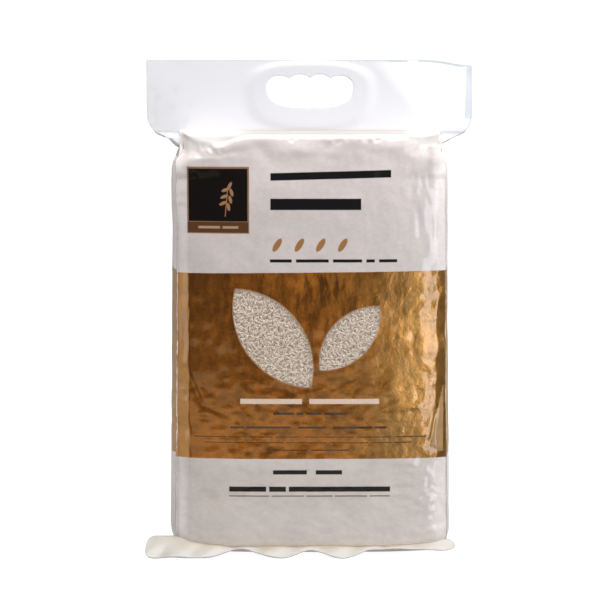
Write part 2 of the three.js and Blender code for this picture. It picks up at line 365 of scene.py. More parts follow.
def columns_past_crease(columns):
    """Distance in points to the nearest of the four creases, at most 6: positive on the gussets,
    negative on the front and the back."""
    spots = np.cumsum([0, FRONT_STEPS, SIDE_STEPS, BACK_STEPS])
    count = FRONT_STEPS + 2 * SIDE_STEPS + BACK_STEPS
    away = np.min([np.abs((columns - spot + count / 2) % count - count / 2) for spot in spots], axis=0)
    gusset = ((columns > spots[1]) & (columns < spots[2])) | (columns > spots[3])
    return np.where(gusset, 1, -1) * np.minimum(away, 6)


def crease_ridges(columns, z):
    """Raised lines where the gussets fold, a bell across each crease's nearest points."""
    away = columns_past_crease(columns)
    return 0.55 * np.exp(-(away**2) / 1.4)[None, :] * np.ones_like(z)[:, None]


def front_share(x):
    """About how far round the film a point on the front is, as a share of the whole way round, for
    film_relief: 0 at the left crease."""
    half = SIDE_AT_FOOT - 8.5
    return (x + half) / (4 * half + 2 * BRICK_DEPTH + 8)


def film_rows():
    """Heights of the rings: close together on the rolled base, and over the shoulder evenly down
    the face and then evenly across the top."""
    base = 12 * np.linspace(0, 1, 12) ** 1.7
    body = np.arange(13.3, SHOULDER_START, 1.3)
    depth = np.linspace(0.93, 0, 34)
    top = (1 - depth**SHOULDER_POWER) ** (1 / SHOULDER_POWER)
    face = np.linspace(0, top[0], 27, endpoint=False)
    shoulder = SHOULDER_START + (SEAL_HEIGHT - SHOULDER_START) * np.concatenate([face, top])
    return np.concatenate([base, body, shoulder, [SEAL_HEIGHT + 0.8]])


def make_film(printed, windowed, clear):
    """The gusseted film from the base to the seal: the pack's rings pushed out along their
    normals by the relief, a flat base of shrinking rings, and a fan over each end. Each point
    keeps how far past a crease it is, and whether the film is bare of rice there."""
    z = film_rows()
    level = pack_surface(z)
    smooth = sagged(level)
    columns = smooth.shape[1]
    step = np.linalg.norm(np.roll(level, -1, 1) - level, axis=-1)[len(z) // 2]
    share = (np.cumsum(step) - step) / step.sum()

    # The relief is less where the pack is thin, and none at the base and at the seal
    depth = np.abs(smooth[..., 1])
    room = np.clip(np.maximum(depth, np.abs(face_depth(z, -1))[:, None]) / 9, 0.04, 1)
    fade = (ramp(0, 8, z) * (1 - ramp(353, SEAL_HEIGHT, z)))[:, None]
    ridges = crease_ridges(np.arange(columns), z) * np.minimum(room, (1 - ramp(338, 348, z))[:, None])
    relief = film_relief(level, share[None, :]) * room + ridges
    points = smooth + outward(smooth) * (relief * fade)[..., None]

    shrink = np.linspace(0.12, 0.92, BASE_RINGS)[:, None, None]
    base = points[0][None] * shrink
    base[..., 2] = 0
    points = np.concatenate([base, points])
    poles = [points[0].mean(0), points[-1].mean(0)]
    rows = len(points)
    count = rows * columns
    flat = np.concatenate([points.reshape(-1, 3), poles])
    faces = [
        grid_faces(rows, columns, True),
        fan_faces(0, columns, count, True),
        fan_faces(count - columns, columns, count + 1, False),
    ]
    made = piece("gusseted_film", flat, faces, [printed, windowed, clear])

    # How many points a spot is from its nearest crease, positive on the gussets
    store(made, "past_crease", np.append(np.tile(columns_past_crease(np.arange(columns)), rows), [0, 0]))

    # Where no rice lies behind the film: the top of the shoulder, and beside it the clear ears
    x, y, tall = np.abs(level[..., 0]), level[..., 1], level[..., 2]
    bare = np.maximum(ramp(-35.5, -32, y) * ramp(345, 348, tall), ramp(103, 107, x) * ramp(343, 346, tall))
    store(made, "bare", np.concatenate([np.zeros(BASE_RINGS * columns), bare.ravel(), [0, 1]]))

    # The windowed film where the leaves are, and the clear plies on the ears
    x, y, tall = flat[faces[0]].mean(1).T
    leaves = (np.abs(x) < 72) & (y < 0) & (tall > 138) & (tall < 234)
    ears = (np.abs(x) > 109) & (tall > 341)
    index = np.zeros(len(made.data.polygons), np.int32)
    index[: len(x)] = np.select([ears, leaves], [2, 1], 0)
    made.data.polygons.foreach_set("material_index", index)
    return made


# ------------------------------------------------------------------ the header and its handle
def stretched_angle(x, z, middle, half_x, half_z):
    """Direction of a point from the handle's middle, after x and z are divided by their halves."""
    return np.arctan2((z - middle) / half_z, x / half_x)


def round_outline(angle, half, middle, up, down, grow=0.0):
    """Two half superellipses of unlike heights: x follows the cosine's and z the sine's power of
    2/2.7, at the parameter whose point lies in the stretched direction angle."""
    power = 2 / HANDLE_POWER
    c, s = np.cos(angle), np.sin(angle)
    turn = np.arctan2(signed_power(s, 1 / power), signed_power(c, 1 / power))
    x = (half + grow) * signed_power(np.cos(turn), power)
    rise = signed_power(np.sin(turn), power)
    return x, middle + rise * (grow + np.where(rise > 0, up, down))


def finger_outline(angle, grow=0.0):
    """The finger opening: such an outline with rounded scallops pushed up into its top, each the
    sine of x to the power 0.7."""
    x, z = round_outline(angle, **HANDLE_HOLE, grow=grow)
    rise = np.maximum(0, z - HANDLE_HOLE["middle"]) / (HANDLE_HOLE["up"] + grow)
    outer = np.maximum(0, np.abs(x) - SCALLOP_PITCH) / SCALLOP_END
    inner = np.minimum(np.abs(x), SCALLOP_PITCH) / SCALLOP_PITCH
    wave = np.abs(np.sin(np.pi * (inner + outer))) ** SCALLOP_POWER
    return x, z + SCALLOP_DEPTH * wave * np.minimum(1, rise * SCALLOP_FADE)


def header_outline(spacing):
    """Points round the header at even spacing, anticlockwise from its right edge: straight sides
    and top, round lower corners that follow the ears, and a straight foot inside the shoulder."""
    foot = EAR_TIP[1] - 0.4
    ear_z = np.linspace(EAR_TOP, foot, 24)
    ear_x = half_width(np.maximum(ear_z, EAR_TIP[1]))
    x = np.concatenate([[HEADER_HALF_WIDTH] * 2, [-HEADER_HALF_WIDTH] * 2, -ear_x[1:], ear_x[::-1]])
    z = np.concatenate([[EAR_TOP, PACK_HEIGHT], [PACK_HEIGHT, EAR_TOP], ear_z[1:], ear_z[::-1]])
    run = np.concatenate([[0], np.cumsum(np.hypot(np.diff(x), np.diff(z)))])
    at = np.linspace(0, run[-1], int(run[-1] / spacing), endpoint=False)
    return np.interp(at, run, x), np.interp(at, run, z)


def header_bend(x, z):
    """How far the header's middle leaves its plane: slow waves away from the handle, and the part
    right of a slanting line leaning back, with its top corner curling further."""
    free = ramp(0, 16, np.abs(x) - 50) * ramp(SEAL_HEIGHT, 372, z)
    waves = 0.35 * np.sin(x / 17 + 0.6) * np.sin(z / 21 + 1.0) + 0.08 * np.sin(x / 8.3 + z / 15)
    past = np.maximum(0, x - mix(98, 50, (z - SEAL_HEIGHT) / (PACK_HEIGHT - SEAL_HEIGHT)))
    lean = 0.26 * past**2 / (past + 20) * ramp(SEAL_HEIGHT, 366, z)
    curl = 1.6 * ramp(92, 132, x) * ramp(400, 414, z) ** 2
    return free * waves + lean - curl


def header_swell(x, z):
    """Half the header's thickness: the welded plies, standing up over the handle inside them and
    falling off round it."""
    half, middle, up, down = HANDLE_OUTER.values()
    tall = np.where(z > middle, up, down)
    reach = np.abs(x / half) ** HANDLE_POWER + np.abs((z - middle) / tall) ** HANDLE_POWER
    away = (reach ** (1 / HANDLE_POWER) - 1) * 30
    return PLY_HALF + OVER_HANDLE * (1 - ramp(-2.5, 5.0, away))


def make_header(material):
    """The header film as one closed skin: for each direction, a strip from the finger opening over
    the handle's outline to the header's edge on the front, and back again on the rear. Each point
    keeps its distance to the edge."""
    edge_x, edge_z = header_outline(spacing=1.35)
    fan_middle = 388.5
    angle = stretched_angle(edge_x, edge_z, fan_middle, HEADER_HALF_WIDTH, PACK_HEIGHT - fan_middle)
    hole_x, hole_z = finger_outline(angle, grow=0.35)
    ring_x, ring_z = round_outline(angle, **HANDLE_OUTER)
    inner = np.concatenate([[0, 0.01, 0.03], np.linspace(0.1, 1, 9)])[:, None]
    outer = np.concatenate([(np.linspace(0, 1, 27) ** 1.35)[1:-1], [0.985, 0.995, 1]])[:, None]
    x = np.concatenate([mix(hole_x, ring_x, inner), mix(ring_x, edge_x, outer)])
    z = np.concatenate([mix(hole_z, ring_z, inner), mix(ring_z, edge_z, outer)])
    swell, bend = header_swell(x, z), header_bend(x, z)
    swell[0] *= 0.96
    droop = TOP_DROOP * ramp(DROOP_START, HEADER_HALF_WIDTH, x) ** 2 * ramp(EAR_TOP, PACK_HEIGHT, z)
    front = np.stack([x, bend - swell, z - droop], -1)
    rear = np.stack([x, bend + swell, z - droop], -1)
    skin = np.concatenate([front, rear[::-1]])
    faces = tube_faces(*skin.shape[:2], True)
    made = piece("header_film", skin, [faces[:, ::-1]], [material])
    square = np.minimum(PACK_HEIGHT - z, HEADER_HALF_WIDTH - np.abs(x))
    to_edge = np.where(z > EAR_TOP, square, np.hypot(x - edge_x, z - edge_z))
    store(made, "to_edge", np.concatenate([to_edge, to_edge[::-1]]))
    return made


def make_handle(material):
    """The handle: a closed ring whose section, a rounded oblong, spans from the finger opening
    to the outer outline in every direction."""
    angle = np.linspace(0, 2 * np.pi, 360, endpoint=False)
    inner_x, inner_z = finger_outline(angle)
    outer_x, outer_z = round_outline(angle, **HANDLE_OUTER)
    turn = np.linspace(0, 2 * np.pi, 28, endpoint=False)[:, None]
    across = 0.5 + 0.5 * signed_power(np.cos(turn), 0.28)
    y = HANDLE_THICKNESS / 2 * signed_power(np.sin(turn), 0.5)
    x = mix(inner_x, outer_x, across)
    z = mix(inner_z, outer_z, across)
    ring = np.stack([x, np.broadcast_to(y, x.shape), z], -1)
    faces = tube_faces(*ring.shape[:2], True)
    return piece("carrying_handle", ring, [faces[:, ::-1]], [material])


# ------------------------------------------------------------------ the bottom seal
def fin_lower(x):
    """Distance down the slope to the fin's wavy lower edge: the full length, less two scoops and
    the shorter stretch to the right."""
    full = np.hypot(FIN_TIP[0] - FIN_ROOT[0], FIN_TIP[1] - FIN_ROOT[1])
    scooped = sum(depth * bump(at, reach, x) for at, reach, depth in FIN_SCOOPS)
    short_from, short_to, short_by = FIN_SHORT
    return full - scooped - short_by * ramp(short_from, short_to, x)


def make_fin(material):
    """The folded bottom seal: a thin closed sheet from its root under the front edge down to the
    floor, gently waved across the slope, its two ends quarter ellipses that close on a waist. Each
    point keeps its distance to the lower edge or to an end."""
    left_end, right_end = FIN_LEFT + FIN_LEFT_ROUND, FIN_RIGHT - FIN_RIGHT_ROUND
    quarter = np.linspace(0, np.pi / 2, 14)
    x = np.concatenate([
        FIN_LEFT + FIN_LEFT_ROUND * (1 - np.cos(quarter)),
        np.linspace(left_end + 1, right_end - 1, 190),
        right_end + FIN_RIGHT_ROUND * np.sin(quarter),
    ])
    left = np.sqrt(1 - ((left_end - x) / FIN_LEFT_ROUND).clip(0, 1) ** 2)
    right = np.sqrt(1 - ((x - right_end) / FIN_RIGHT_ROUND).clip(0, 1) ** 2)
    waist = np.where(x > 0, 10.6, 13.0)
    top = mix(waist, 3.2 * ramp(right_end - 6, right_end, x), left * right)
    low = mix(waist, fin_lower(x), left**0.6 * right)
    share = np.linspace(0, 1, 20)[:, None]
    down = mix(top, low, share)
    slope = np.arctan2(FIN_TIP[1] - FIN_ROOT[1], FIN_TIP[0] - FIN_ROOT[0])
    wave = 0.9 * np.sin(x / 9.5 + 0.8 * np.sin(x / 23)) * share**1.2
    wave = wave + 0.5 * np.sin(x / 4.1 + down / 5) * share
    wave = wave * ramp(1.0, 8.0, fin_lower(x) - down + 6)
    half = 0.42 * np.sqrt(np.clip(1 - (2 * share - 1) ** 8, 0.05, 1)) * np.maximum(left * right, 0.3)
    y = FIN_ROOT[0] + np.cos(slope) * down
    z = FIN_ROOT[1] + np.sin(slope) * down
    normal = np.array([0, np.sin(slope), -np.cos(slope)])
    middle = np.stack([np.broadcast_to(x, down.shape), y, z], -1)
    front = middle + normal * (wave + half)[..., None]
    rear = middle + normal * (wave - half)[..., None]
    ring = np.concatenate([front, rear[::-1]])
    ring[..., 2] = np.maximum(ring[..., 2], 0.1)
    rows, columns = ring.shape[:2]
    faces = tube_faces(rows, columns, False)
    ends = []
    for column, flip in ((0, False), (columns - 1, True)):
        for row in range(rows // 2 - 1):
            corner = [row, row + 1, rows - 2 - row, rows - 1 - row]
            quad = [r * columns + column for r in corner]
            ends.append(quad[::-1] if flip else quad)
    made = piece("bottom_seal_fin", ring, [faces, ends], [material])
    to_edge = np.minimum(low - down, np.minimum(x - FIN_LEFT, FIN_RIGHT - x))
    store(made, "to_edge", np.concatenate([to_edge, to_edge[::-1]]))
    return made


# ------------------------------------------------------------------ the rice behind the windows
def leaf_circles(leaf):
    """A leaf is the overlap of two equal circles through its tips: their middles (x, z), and their
    radius."""
    (ax, az), (bx, bz), half = leaf
    chord = np.hypot(bx - ax, bz - az)
    radius = (half**2 + (chord / 2) ** 2) / (2 * half)
    shift = np.array([-(bz - az), bx - ax]) / chord * (radius - half)
    middle = np.array([(ax + bx) / 2, (az + bz) / 2])
    return (middle + shift, middle - shift), radius


def leaf_inside(x, z, grow):
    """True inside any of the leaves, grown all round."""
    found = np.zeros(np.shape(x), bool)
    for leaf in LEAVES:
        middles, radius = leaf_circles(leaf)
        one, two = [np.hypot(x - at_x, z - at_z) for at_x, at_z in middles]
        found |= np.maximum(one, two) < radius + grow
    return found


def front_depth(x, z):
    """How far the smooth front face stands before the middle plane at x and z."""
    crease_x = half_width(z) - SIDE_BULGE
    crease = crease_depth(z, -1)
    return crease + (face_depth(z, -1) - crease) * (1 - np.abs(x / crease_x) ** face_power(z))


def film_front(x, z):
    """The film's own depth before the middle plane at x and z, dents and all."""
    depth = front_depth(x, z)
    spots = np.stack([x, -depth, z], -1)
    return depth + film_relief(spots, front_share(x))


def make_grains(material):
    """Loose grains at true size in four layers behind the windows: each a slim pointed spindle
    whose radius is a sine to the power 0.7 along it, laid at random on a jittered lattice."""
    rng = np.random.default_rng(40)
    pitch, jitter, layer_depth = 2.7, 1.5, 1.15
    grid_x, grid_z = np.meshgrid(np.arange(-76, 72, pitch), np.arange(134, 238, pitch))
    spots = []
    for layer in range(4):
        at_x = grid_x.ravel() + rng.uniform(-jitter, jitter, grid_x.size)
        at_z = grid_z.ravel() + rng.uniform(-jitter, jitter, grid_x.size)
        keep = leaf_inside(at_x, at_z, 1.5)
        at_x, at_z = at_x[keep], at_z[keep]
        behind = 1.7 + 0.5 * ramp(35, 55, at_x) + layer_depth * layer + rng.uniform(-0.3, 0.3, at_x.size)
        spots.append(np.stack([at_x, -film_front(at_x, at_z) + behind, at_z], -1))
    centre = np.concatenate(spots)
    count = len(centre)
    length, width = rng.uniform(4.0, 5.0, count), rng.uniform(1.65, 2.1, count)
    turn, tip = rng.uniform(0, np.pi, count), rng.normal(0, 0.25, count).clip(-0.35, 0.35)
    long_way = np.stack([np.cos(turn) * np.cos(tip), np.sin(tip), np.sin(turn) * np.cos(tip)], -1)
    side_way = np.cross(long_way, [0, 1.0, 0])
    side_way /= np.linalg.norm(side_way, axis=-1, keepdims=True)
    deep_way = np.cross(side_way, long_way)
    stations = np.array([-0.94, -0.6, 0.0, 0.6, 0.94])
    radius = np.sin(np.arccos(stations))[:, None] ** 0.7
    rings, sides = len(stations), 6
    turns = np.arange(sides) / sides * 2 * np.pi
    along = np.append(np.repeat(stations, sides), [-1.04, 1.04])
    aside = np.append(radius * np.cos(turns), [0, 0])
    deep = np.append(radius * np.sin(turns), [0, 0])
    points = (
        centre[:, None]
        + (length[:, None] / 2 * along)[..., None] * long_way[:, None]
        + (width[:, None] / 2 * aside)[..., None] * side_way[:, None]
        + (width[:, None] / 2 * 0.86 * deep)[..., None] * deep_way[:, None]
    )
    first_tip = rings * sides
    quads = grid_faces(rings, sides, True)
    ends = np.concatenate([
        fan_faces(0, sides, first_tip, True),
        fan_faces(first_tip - sides, sides, first_tip + 1, False),
    ])
    offset = np.arange(count)[:, None, None] * (first_tip + 2)
    faces = [(quads + offset).reshape(-1, 4), (ends + offset).reshape(-1, 3)]
    return piece("rice_grains", points, faces, [material])


def make_rice_bed(material):
    """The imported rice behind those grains: for each leaf, and a margin round it, a plate whose
    width falls as a parabola to its tips, its front lumpy by a random field and its back smooth."""
    margin, front, back, lump = 3, 6.6, 9.1, 0.5
    far, wide = np.linspace(-1, 1, 60)[:, None], np.linspace(-1, 1, 40)[None, :]
    points, faces, first = [], [], 0
    for (ax, az), (bx, bz), half in LEAVES:
        chord = np.hypot(bx - ax, bz - az)
        way_x, way_z = (bx - ax) / chord, (bz - az) / chord
        along = far * (chord / 2 + margin)
        across = wide * (half + margin) * np.clip(1 - far**2, 0.0004, 1)
        x = (ax + bx) / 2 + along * way_x - across * way_z
        z = (az + bz) / 2 + along * way_z + across * way_x
        film = -film_front(x, z)
        lumps = lump * field((x + 90) / 200, (z - 100) / 160, 80, 60, 21)
        sheets = np.stack([np.stack([x, film + front + lumps, z], -1), np.stack([x, film + back, z], -1)])
        points.append(sheets.reshape(-1, 3))

        # Both sheets, and a wall round them between their outermost points
        number = np.arange(x.size).reshape(x.shape)
        sheet = grid_faces(*x.shape, False)
        rim = np.concatenate([number[0], number[1:, -1], number[-1, -2::-1], number[-2:0:-1, 0]])
        after = np.roll(rim, -1)
        wall = np.stack([rim, after, after + x.size, rim + x.size], -1)
        faces += [sheet[:, ::-1] + first, sheet + x.size + first, wall + first]
        first += 2 * x.size
    return piece("packed_rice", np.concatenate(points), faces, [material])


# ------------------------------------------------------------------ finishes
class Wire:
    """A value that varies over a surface; arithmetic on a number adds Math nodes to its finish."""

    def __init__(self, finish, socket):
        self.finish, self.socket = finish, socket

    def __add__(self, other):
        return self.finish.maths("ADD", self, other)

    def __sub__(self, other):
        return self.finish.maths("SUBTRACT", self, other)

    def __rsub__(self, other):
        return self.finish.maths("SUBTRACT", other, self)

    def __mul__(self, other):
        return self.finish.maths("MULTIPLY", self, other)

    __radd__ = __add__


class Finish:
    """A material in the making: one Principled shader and the nodes that feed it."""

    def __init__(self, name, **constants):
        self.material = bpy.data.materials.new(name)
        self.material.use_nodes = True
        self.tree = self.material.node_tree
        self.tree.nodes.clear()
        self.shader = self.tree.nodes.new("ShaderNodeBsdfPrincipled")
        out = self.tree.nodes.new("ShaderNodeOutputMaterial")
        self.tree.links.new(self.shader.outputs["BSDF"], out.inputs["Surface"])
        self.feed(self.shader, {key.replace("_", " "): value for key, value in constants.items()})

    def feed(self, node, inputs):
        """Sets a node's inputs by name or number: links wires, copies plain values."""
        for key, value in inputs.items():
            socket = node.inputs[key]
            if isinstance(value, Wire):
                self.tree.links.new(value.socket, socket)
            elif isinstance(value, tuple) and len(value) == 3 and socket.type == "RGBA":
                socket.default_value = (*value, 1)
            else:
                socket.default_value = value

    def node(self, kind, settings=None, inputs=None, output=0):
        """Adds a node of any kind: its settings first, then its inputs. Returns an output."""
        made = self.tree.nodes.new("ShaderNode" + kind)
        for key, value in (settings or {}).items():
            setattr(made, key, value)
        self.feed(made, inputs or {})
        return Wire(self, made.outputs[output])

    def maths(self, operation, *values):
        """A Math node on up to three numbers or wires."""
        return self.node("Math", {"operation": operation}, dict(enumerate(values)))

    def size(self, value):
        """A number without its sign."""
        return self.maths("ABSOLUTE", value)

    def larger(self, *values):
        """The largest of any number of values."""
        return reduce(lambda a, b: self.maths("MAXIMUM", a, b), values)

    def smaller(self, *values):
        """The smallest of any number of values."""
        return reduce(lambda a, b: self.maths("MINIMUM", a, b), values)

    def ease(self, value, low, high, start=0.0, end=1.0):
        """start at low and before it, end at high and past it, and a smooth step between."""
        ends = {"From Min": low, "From Max": high, "To Min": start, "To Max": end}
        return self.node("MapRange", {"interpolation_type": "SMOOTHSTEP"}, {"Value": value, **ends})

    def blend(self, share, one, two):
        """The colour one where share is 0, two where it is 1."""
        made = self.tree.nodes.new("ShaderNodeMix")
        made.data_type = "RGBA"
        self.feed(made, {0: share, 6: one, 7: two})
        return Wire(self, made.outputs[2])

    def shade(self, colour, amount):
        """A colour scaled by a number."""
        return self.node("VectorMath", {"operation": "SCALE"}, {0: colour, "Scale": amount})

    def place(self):
        """The point on the pack, in millimetres about its centre line: the vector and x, y, z."""
        spot = self.node("TexCoord", output="Object")
        moved = self.node("VectorMath", {"operation": "SUBTRACT"}, {0: spot, 1: tuple(CENTRE)})
        vector = self.node("VectorMath", {"operation": "SCALE"}, {0: moved, "Scale": 1000.0})
        return vector, *[self.node("SeparateXYZ", inputs={0: vector}, output=axis) for axis in "XYZ"]

    def stored(self, name):
        """The number that each point of the piece keeps under this name."""
        return self.node("Attribute", {"attribute_name": name}, output="Fac")

    def squeezed(self, vector, stretch):
        """The vector divided by stretch, so that a pattern on it is longer where stretch is."""
        shares = tuple(1 / share for share in stretch)
        return self.node("VectorMath", {"operation": "MULTIPLY"}, {0: vector, 1: shares})

    def mottle(self, vector, size, detail=2.0, stretch=(1, 1, 1), roughness=0.5):
        """Noise about 0..1 whose features are about size millimetres, longer where stretch is."""
        looks = {"Scale": 1 / size, "Detail": detail, "Roughness": roughness}
        return self.node("TexNoise", {"noise_dimensions": "3D"},
                         {"Vector": self.squeezed(vector, stretch), **looks})

    def cells(self, vector, size, stretch=(1, 1, 1)):
        """Distance from the nearest of scattered points about size millimetres apart."""
        looks = {"Scale": 1 / size, "Smoothness": 0.35}
        return self.node("TexVoronoi", {"feature": "SMOOTH_F1"},
                         {"Vector": self.squeezed(vector, stretch), **looks})

    def bumps(self, height, strength=1.0):
        """Bends the shader's normal by a height in millimetres."""
        normal = self.node("Bump", inputs={"Height": height, "Distance": 0.001, "Strength": strength})
        self.feed(self.shader, {"Normal": normal})

    def beyond(self, value, low, high):
        """How far a value is outside a span: under 0 is inside."""
        return self.size(value - (low + high) / 2) - (high - low) / 2

    def oblong(self, x, z, left, right, low, high, soft=0.3):
        """1 inside an upright oblong and 0 outside it."""
        return self.bars(x, z, ((((left, right),), low, high),), soft)

    def bars(self, x, z, rows, soft=0.3):
        """1 on rows of plain bars: a row is the ends of each of its bars, its foot and its top."""
        seen = []
        for spans, low, high in rows:
            over_x = self.smaller(*[self.beyond(x, left, right) for left, right in spans])
            over = self.larger(over_x, self.beyond(z, low, high))
            seen.append(self.ease(over, -soft, soft, 1.0, 0.0))
        return self.larger(*seen)

    def grain_mark(self, x, z, at_x, at_z, lean, length, width):
        """1 on a slim ellipse whose long way leans this many degrees from level."""
        c, s = np.cos(np.radians(lean)), np.sin(np.radians(lean))
        along = (x - at_x) * float(c / length) + (z - at_z) * float(s / length)
        across = (z - at_z) * float(c / width) - (x - at_x) * float(s / width)
        return self.ease(along * along + across * across, 0.75, 1.2, 1.0, 0.0)

    def leaf(self, x, z, leaf):
        """How far a point is outside a leaf: under 0 is inside."""
        middles, radius = leaf_circles(leaf)
        reach = []
        for at_x, at_z in middles:
            dx, dz = x - float(at_x), z - float(at_z)
            reach.append(self.maths("SQRT", dx * dx + dz * dz))
        return self.larger(*reach) - float(radius)


# ------------------------------------------------------------------ inks, foils and films
INK = (0.006, 0.005, 0.006)
GREY_INK = (0.17, 0.15, 0.15)
BROWN_INK = (0.055, 0.024, 0.012)
DEEP_GOLD = (0.54, 0.187, 0.029)
# Paler gold for the band's right side: a painted highlight
HIGHLIGHT_GOLD = (0.52, 0.25, 0.06)
# Tans for the band's left edge and its gussets: painted reflection of the foil there
TAN_GOLD = (0.50, 0.262, 0.09)
GUSSET_GOLD = (0.48, 0.35, 0.215)
# The facet's colour: a painted reflection of the foil pressed in there
FACET_GOLD = (0.40, 0.25, 0.13)
MARK_GOLD = (0.33, 0.15, 0.055)
PINK_SILVER = (0.70, 0.53, 0.43)
# The bared film along the band's creases, paler than the film: partly a painted highlight
WORN_GLINT_PALE = (0.95, 0.80, 0.66)
FILM = (0.607, 0.544, 0.527)
LOW_FILM = (0.555, 0.497, 0.468)
# Near-white film for the rolled foot: painted light against its shade
LIT_FOOT_FILM = (0.99, 0.89, 0.78)
# Paler film along the gusset folds: a painted highlight
FOLD_HIGHLIGHT_FILM = (0.73, 0.67, 0.65)
CREAM = (0.475, 0.447, 0.422)
LEAF_RIM = (0.55, 0.33, 0.24)
LEAF_FILM = (0.66, 0.55, 0.45)

PLIES = (0.84, 0.835, 0.87)
# Painted shade of a soft dent in the header's left
DENT_SHADE = (0.77, 0.75, 0.735)
EAR_RIM = (0.48, 0.50, 0.52)
STRIP_GREY = (0.55, 0.59, 0.62)
RIM_GREY = (0.42, 0.45, 0.47)
CURL_GREY = (0.50, 0.52, 0.53)
SEAL_GREY = (0.55, 0.52, 0.49)
FIN_DARK = (0.41, 0.388, 0.35)
FIN_PALE = (0.458, 0.438, 0.408)
FIN_WARM = (0.45, 0.385, 0.30)
FIN_RIM = (0.30, 0.33, 0.38)
POLYTHENE = (0.805, 0.80, 0.84)
GRAIN_DARK = (0.745, 0.63, 0.515)
GRAIN_LIGHT = (0.90, 0.79, 0.67)
# The packed rice behind the grains is darker than they are: painted shade in the gaps between grains
BED_DARK = (0.54, 0.43, 0.34)
BED_LIGHT = (0.66, 0.55, 0.44)

# The dark panel's edge, black field and brown foot, each by its left, right, low and high sides,
# and the grains of the ear of rice on it by x, z and degrees from level
PANEL = (-101.3, -50.0, 273.4, 328.6)
PANEL_FIELD = (-100.0, -51.4, 283.5, 327.0)
PANEL_FOOT = (-100.6, -50.7, 274.2, 283.0)
PANEL_EDGE = (0.27, 0.15, 0.085)
PANEL_BROWN = (0.094, 0.04, 0.016)
PANEL_BLACK = (0.005, 0.003, 0.0025)
PANEL_PALE = (0.42, 0.27, 0.18)
EAR_GOLD = (0.34, 0.17, 0.08)
EAR_GRAINS = ((-66, 313, 62), (-69.5, 309.5, 20), (-64.5, 307.5, 108), (-70.5, 304, 22),
              (-65.5, 301.5, 104), (-71.5, 298.5, 26), (-67, 295.5, 100))

# Plain bars in place of the lines of print, row by row: the ends of each bar, then foot and top
PANEL_BARS = ((((-92, -74), (-72, -59)), 277.6, 279.6),)
BLACK_BARS = (
    (((-32.6, 42.1),), 293.0, 302.4),
    (((-33, -15), (-11.5, 15.5), (19, 43), (46.5, 53.5), (57, 72)), 249.6, 252.2),
    (((-30.7, -2.5), (5, 26.9)), 71.3, 74.9),
    (((-67.4, -36.5), (-34, -20), (-17.5, 67.1)), 56.6, 60.9),
)
GREY_BARS = ((((-67.5, -34), (-32, -5), (-3, 19), (21, 48), (50, 67.1)), 52.3, 53.4),)
PINK_BARS = ((((-57.9, -6.5), (-0.5, 57.6)), 131.0, 135.4),)
BROWN_BARS = (
    (((-30.6, -13), (-11, -5.5), (-3, 9.5), (12, 31.0)), 121.7, 124.0),
    (((-66.3, -55), (-53, -16.5), (-10, 13.5), (19.5, 52), (54, 64.3)), 110.2, 112.0),
    (((-97.2, -70), (-68.5, -31), (-29, -8), (-4, 37), (39, 68), (70, 97.7)), 102.6, 103.5),
    (((-88, -55), (-53, -22), (-20, 14), (16, 49), (51, 86)), 97.8, 98.7),
    (((-34, -3), (1, 32.7)), 91.4, 92.5),
)

# The four grain marks: where each stands, and their height, lean, length and width
MARKS_AT = (-27.0, -8.7, 8.9, 27.0)
MARK_LOOKS = (264.0, 58, 6.4, 2.5)


def gold_foil(film, vector, x, z):
    """The band's gold, with painted light: deep at the left and paler at the right as a painted highlight,
    streaked by painted reflection that stands in for the crinkled foil's broken reflections, calmer
    towards the sides, with broad lighter and darker places of painted reflection and shade, and a
    painted highlight between the windows."""
    # Painted reflection: streaks of lighter and darker gold stand in for the crinkled foil's broken
    # reflections, running up and down high on the band and level lower down
    tall = film.mottle(vector, 7, 4.0, stretch=(0.75, 1, 2.2), roughness=0.6)
    flat = film.mottle(vector, 7, 4.0, stretch=(1.2, 1, 0.9), roughness=0.6)
    painted_sheen = flat + (tall - flat) * film.ease(z, 140, 190)
    # Painted highlight: the gold turns paler to the right, where the foil's highlights fall
    gold = film.blend(film.ease(x, 0, 92), DEEP_GOLD, HIGHLIGHT_GOLD)
    sheen_streaks = film.ease(painted_sheen, 0.32, 0.68, 0.58, 1.42) * film.ease(z, 130, 170, 0.93, 1.0)
    calm = film.ease(film.size(x + 10), 40, 85, 0.15, 0.75) * film.ease(z, 120, 160, 1.0, 0.8)
    gold = film.shade(gold, sheen_streaks + (calm - sheen_streaks * calm))

    # Painted reflection and shade: broad lighter and darker places of the gold, set by height at the left,
    # the middle and the right, and darker at the right edge
    left, right = film.ease(x, -70, -20, 1.0, 0.0), film.ease(x, 30, 70)
    left_painted_reflection = film.ease(z, 105, 165, 0.25, -0.19)
    middle_painted_reflection = film.ease(z, 100, 140, 0.07, 0.0)
    right_painted_reflection = film.ease(z, 100, 150, -0.19, 0.06) + film.ease(z, 195, 225, 0.0, -0.22)
    right_painted_reflection = right_painted_reflection - film.ease(x, 90, 100) * 0.12
    level = left * left_painted_reflection + (1 - left - right) * middle_painted_reflection + right * right_painted_reflection
    # A painted highlight on the gold between the windows, broken up by the streaks
    painted_highlight = film.ease(film.size(x - 10), 12, 30, 1.0, 0.0) * film.ease(z, 205, 232)
    painted_highlight = painted_highlight * film.ease(tall, 0.42, 0.62, -0.16, 0.42)
    return film.shade(gold, (level + 1.05) * (painted_highlight + 1)), painted_sheen


